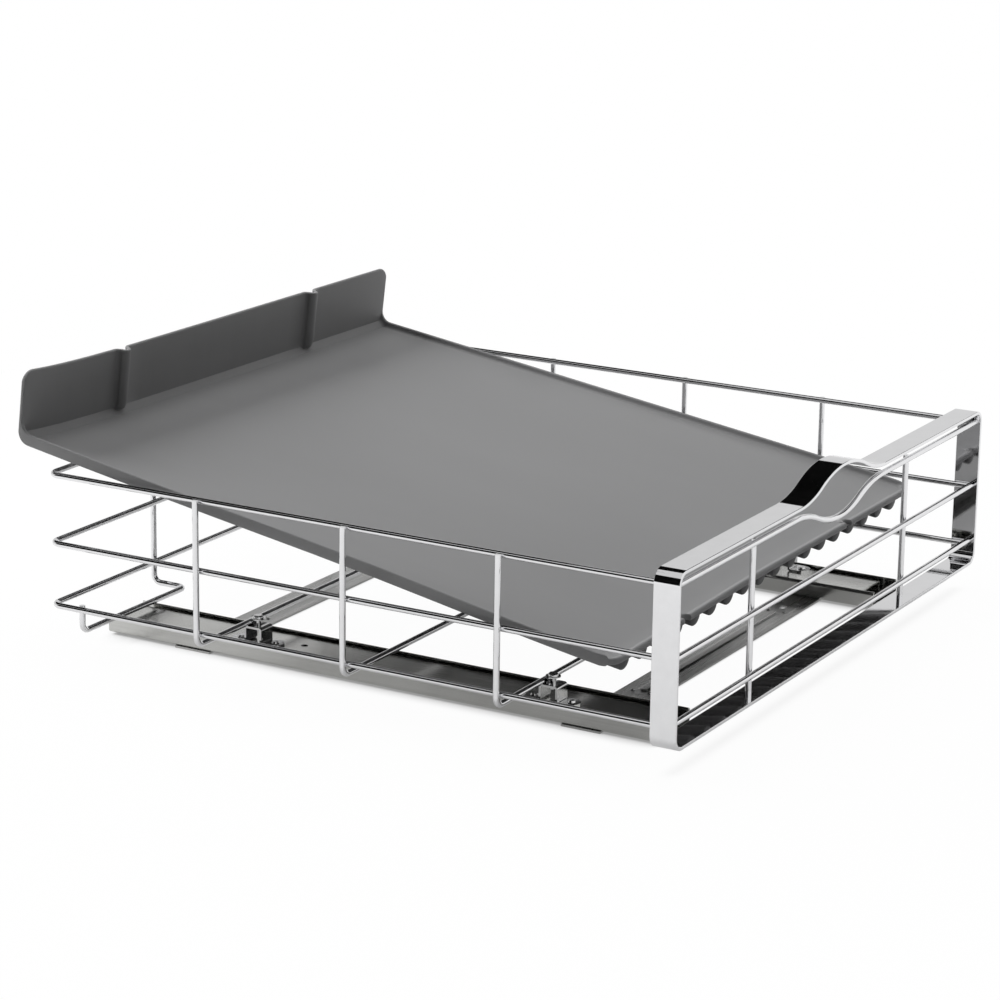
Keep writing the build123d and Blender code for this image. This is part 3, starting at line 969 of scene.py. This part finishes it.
def middle_stations(half):
    """Places across the middle of the liner, close together at its channels and notches."""
    outer = GROOVE_ROUND + GROOVE_WALL
    foot = outer + GROOVE_BLEND
    offsets = {0}
    for step in range(1, GROOVE_STEPS + 1):
        share = sin(pi / 2 * step / GROOVE_STEPS)
        offsets |= {outer * share, GROOVE_ROUND * share}
        offsets |= {foot - GROOVE_BLEND * share, foot - (foot - GROOVE_ROUND) * share}
    for radius in (outer, GROOVE_ROUND):
        offsets |= {radius - TINY, radius + TINY}
    places = {step * MIDDLE_PITCH for step in range(-MIDDLE_STEPS, MIDDLE_STEPS + 1)}
    for offset in offsets:
        for sign in (-1, 1):
            places |= {sign * GROOVE_X + offset, sign * GROOVE_X - offset}
    for notch in NOTCHES:
        for step in range(-NOTCH_STEPS, NOTCH_STEPS + 1):
            places.add(notch + NOTCH_ROUND * sin(pi / 2 * step / NOTCH_STEPS))
    kept = []
    for x in sorted(places):
        if not kept or x - kept[-1] > SAME_PLACE:
            kept.append(x)
    return [(x, half - abs(x), 0, 0) for x in kept]


def liner_skin(half, length):
    """The mat, lips and flange, flat and untilted: one closed skin of sections across the liner."""
    right = side_stations(half)
    left = [(-x, inset, lip, rounding) for x, inset, lip, rounding in reversed(right)]
    sections = []
    for x, inset, lip, rounding in left + middle_stations(half) + right:
        outline = liner_section(x, inset, lip, length)
        if rounding:
            outline = shrunk(outline, rounding)
        sections.append([(x, v, w) for v, w in outline])
    around = len(sections[0])
    faces = [tuple(range(around))]
    for row in range(len(sections) - 1):
        for index in range(around):
            after = (index + 1) % around
            first, second = row * around, (row + 1) * around
            faces.append((first + index, second + index, second + after, first + after))
    last = (len(sections) - 1) * around
    faces.append(tuple(last + index for index in reversed(range(around))))
    skin = bpy.data.meshes.new("liner_skin")
    skin.from_pydata([point for section in sections for point in section], [], faces)
    return skin


def rib_path(length):
    """One rib's path up the slope, a little slimmer at both ends, where its edges are rounded."""
    end = length - RIB_STOP
    stations = [(v * MM, scale) for v, scale in RIB_END]
    stations += [(end * share, 1) for share in MAT_SHARES[2:-1]]
    stations += [(end - v * MM, scale) for v, scale in reversed(RIB_END)]
    path = path_object("rib_path", [(RIB_SHIFT, v, -SHEET) for v, scale in stations])
    for point, (v, scale) in zip(path.data.splines[0].points, stations):
        point.radius = scale
    return path


def liner_ribs(length):
    """The row of ribs, flat and untilted."""
    values = {
        "Rib width": RIB_WIDTH,
        "Rib height": RIB_HEIGHT,
        "Sink": RIB_SINK,
        "Round": RIB_ROUND,
        "Pitch": RIB_PITCH,
        "Ribs": RIB_COUNT,
        "Material": materials["rib_rubber_painted_shade"],
    }
    return grown("liner_ribs", rib_path(length), make_rib_tree(), values)


def settled(x, v, w, half, length):
    """The rubber as it lies: its rear sags and its rear left corner curls up, and its front left droops."""
    leftwards, upwards = (half - x) / (2 * half), max(0, v / length)
    curl = REAR_CURL * leftwards**CURL_ACROSS * upwards**CURL_ALONG
    sag = REAR_SAG * upwards * (1 - SAG_EASE * leftwards)
    away = sqrt((x + half) ** 2 + v * v)
    droop = FRONT_DROOP * (1 - eased(away / DROOP_REACH))
    return x, v, w + (curl - sag) - droop


def make_liner():
    """The rubber liner: its skin and its ribs in one mesh, laid as it lies in the basket."""
    low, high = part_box("liner")
    half = (high.x - low.x) / 2
    front_y, front_z = low.y, low.z + LINER_RISE
    length = (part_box("top_rim_wire")[1].y - wire_radius + LINER_OVERHANG - front_y) / cos(LINER_TILT)
    ribs = liner_ribs(length)
    body = bmesh.new()
    body.from_mesh(liner_skin(half, length))
    bmesh.ops.recalc_face_normals(body, faces=body.faces)
    skin_faces = len(body.faces)
    body.from_mesh(ribs.data)
    body.faces.ensure_lookup_table()
    # The ribs take the darker rubber, which paints shade on them.
    for face in body.faces[skin_faces:]:
        face.material_index = 1
    for corner in body.verts:
        x, v, w = settled(*corner.co, half, length)
        y = front_y + v * cos(LINER_TILT) - w * sin(LINER_TILT)
        corner.co = (x, y, front_z + v * sin(LINER_TILT) + w * cos(LINER_TILT))
    mesh = bpy.data.meshes.new("rubber_liner")
    body.to_mesh(mesh)
    body.free()
    bpy.data.objects.remove(ribs)
    mesh.materials.append(materials["liner_rubber"])
    mesh.materials.append(materials["rib_rubber_painted_shade"])
    smooth(mesh, LINER_SMOOTH_ANGLE)
    hand_over(placed("rubber_liner", mesh), "liner", "liner_rubber", "liner")


# Floor: its glow where it is seen, near the object and mirrored, with the spans over which they change;
# near the object, occlusion lowers the glow to paint a contact shade
FLOOR_DROP = 0.2 * MM
FLOOR_HALF = 14.0
FLOOR_GREY = 0.75
# The occlusion that paints a contact shade on the floor: its reach, samples and span
CONTACT_REACH = 0.022
CONTACT_SAMPLES = 24
CONTACT_SPAN = (0.15, 0.85)
GLOW_SEEN = 0.975
GLOW_CONTACT = 0.25
SEEN_SPAN = (0.3, 0.9)
GLOW_MIRRORED = 0.22
MIRRORED_SPAN = (0.3, 0.75)

# World: how bright it is as a light, and mirrored from in front of the object and from behind it
WORLD_LEVEL = 0.05
MIRRORED_FRONT = 0.99
MIRRORED_BACK = 0.70
FRONT_TO_BACK = (-0.2, 0.5)

# Lamps and the dark cards that polished metal mirrors, their turns and rises in degrees
LAMP_AIM = Vector((0, 0, 0.1))
CARD_GREY = 0.01
CARD_REACH = 3.6
CARD_STEP = 3


def floor_white():
    """Matt white that also glows: less near the object, where occlusion paints a contact shade, and each
    kind of ray sees a glow of its own.
    """
    material, shader, add, link = matt("floor_white", FLOOR_GREY)
    # Occlusion lowers the glow under and beside the slides, straps and frame: a painted contact shade.
    painted_contact_shade = add("ShaderNodeAmbientOcclusion")
    painted_contact_shade.samples = CONTACT_SAMPLES
    painted_contact_shade.inputs["Distance"].default_value = CONTACT_REACH
    near = graded(add, link, painted_contact_shade.outputs["AO"], GLOW_CONTACT, GLOW_SEEN, CONTACT_SPAN)
    reach = add("ShaderNodeVectorMath", operation="LENGTH")
    link(add("ShaderNodeTexCoord").outputs["Object"], reach.inputs[0])
    distance = reach.outputs["Value"]
    far = graded(add, link, distance, 0, 1, SEEN_SPAN)
    mirrored = graded(add, link, distance, GLOW_MIRRORED, 1, MIRRORED_SPAN)
    path = add("ShaderNodeLightPath").outputs
    level = blended(add, link, path["Is Camera Ray"], 0, blended(add, link, far, near, 1))
    level = blended(add, link, path["Is Glossy Ray"], level, mirrored)
    level = blended(add, link, path["Is Transmission Ray"], level, mirrored)
    glow = add("ShaderNodeEmission")
    glow.inputs["Strength"].default_value = 1
    blend = add("ShaderNodeMixShader")
    link(level, blend.inputs["Fac"])
    link(shader.outputs["BSDF"], blend.inputs[1])
    link(glow.outputs["Emission"], blend.inputs[2])
    link(blend.outputs["Shader"], material.node_tree.nodes["Material Output"].inputs["Surface"])
    return material


def make_floor():
    """A white floor: near the object it keeps the object's shadow from the lamps and a painted contact
    shade from occlusion, and further out it is plain white.
    """
    half = FLOOR_HALF
    corners = [(x, y, -FLOOR_DROP) for x, y in ((-half, -half), (half, -half), (half, half), (-half, half))]
    mesh = bpy.data.meshes.new("floor")
    mesh.from_pydata(corners, [], [(0, 1, 2, 3)])
    mesh.materials.append(floor_white())
    floor = placed("floor", mesh)


def make_world():
    """A plain studio: white where it is seen or mirrored, and softer as a light."""
    world = bpy.data.worlds.new("studio")
    world.use_nodes = True
    bpy.context.scene.world = world
    add, link = node_adder(world.node_tree.nodes), world.node_tree.links.new
    back = world.node_tree.nodes["Background"]
    back.inputs["Color"].default_value = (1, 1, 1, 1)
    direction = add("ShaderNodeSeparateXYZ")
    link(add("ShaderNodeTexCoord").outputs["Generated"], direction.inputs["Vector"])
    mirrored = graded(add, link, direction.outputs["Y"], MIRRORED_FRONT, MIRRORED_BACK, FRONT_TO_BACK)
    path = add("ShaderNodeLightPath").outputs
    level = blended(add, link, path["Is Glossy Ray"], WORLD_LEVEL, mirrored)
    level = blended(add, link, path["Is Camera Ray"], level, 1)
    level = blended(add, link, path["Is Transmission Ray"], level, 1)
    link(level, back.inputs["Strength"])


def make_softbox(name, place, width, height, power):
    """A soft rectangular lamp; metal mirrors the white studio in its place."""
    data = bpy.data.lights.new(name, "AREA")
    data.shape = "RECTANGLE"
    data.size, data.size_y = width, height
    data.energy = power
    lamp = bpy.data.objects.new(name, data)
    lamp.visible_glossy = False
    lamp.location = place
    lamp.rotation_mode = "QUATERNION"
    lamp.rotation_quaternion = (LAMP_AIM - Vector(place)).to_track_quat("-Z", "Y")
    bpy.context.scene.collection.objects.link(lamp)


def make_card(name, turn, rise):
    """A dark studio card, bent round the object: only mirrored, so it darkens nothing else."""
    material, *_ = matt(name, CARD_GREY)
    start, end = turn
    steps = round((end - start) / CARD_STEP)
    corners = []
    for elevation in rise:
        flat, z = CARD_REACH * cos(radians(elevation)), CARD_REACH * sin(radians(elevation))
        for step in range(steps + 1):
            angle = radians(start + (end - start) * step / steps)
            corners.append((flat * cos(angle), flat * sin(angle), z))
    row = steps + 1
    mesh = bpy.data.meshes.new(name)
    mesh.from_pydata(corners, [], [(i, i + 1, i + 1 + row, i + row) for i in range(steps)])
    mesh.materials.append(material)
    card = placed(name, mesh)
    card.visible_camera = False
    card.visible_diffuse = False
    card.visible_shadow = False
    card.visible_transmission = False


def make_studio():
    """The floor, the white surroundings, three lamps and two dark cards."""
    make_floor()
    make_world()
    make_softbox("back_softbox", place=(-0.3, 1.9, 1.35), width=2.0, height=1.3, power=71)
    make_softbox("top_softbox", place=(0.5, 0.2, 2.1), width=1.6, height=1.6, power=26)
    make_softbox("side_softbox", place=(1.4, -0.35, 0.85), width=0.9, height=0.7, power=5)
    make_card("dark_card_back", turn=(-30, 120), rise=(24, 66))
    make_card("dark_card_left", turn=(125, 215), rise=(1, 48))


materials = make_materials()
wire_low, wire_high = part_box("front_mid_wire")
wire_radius = (wire_high.z - wire_low.z) / 2
make_camera()
make_wires()
make_front_frame()
for slide_side in ("left", "right"):
    make_slide(slide_side)
    make_clamps(slide_side)
make_straps()
make_clamp_fasteners()
make_liner()
make_studio()
bpy.context.scene.view_settings.view_transform = "Standard"
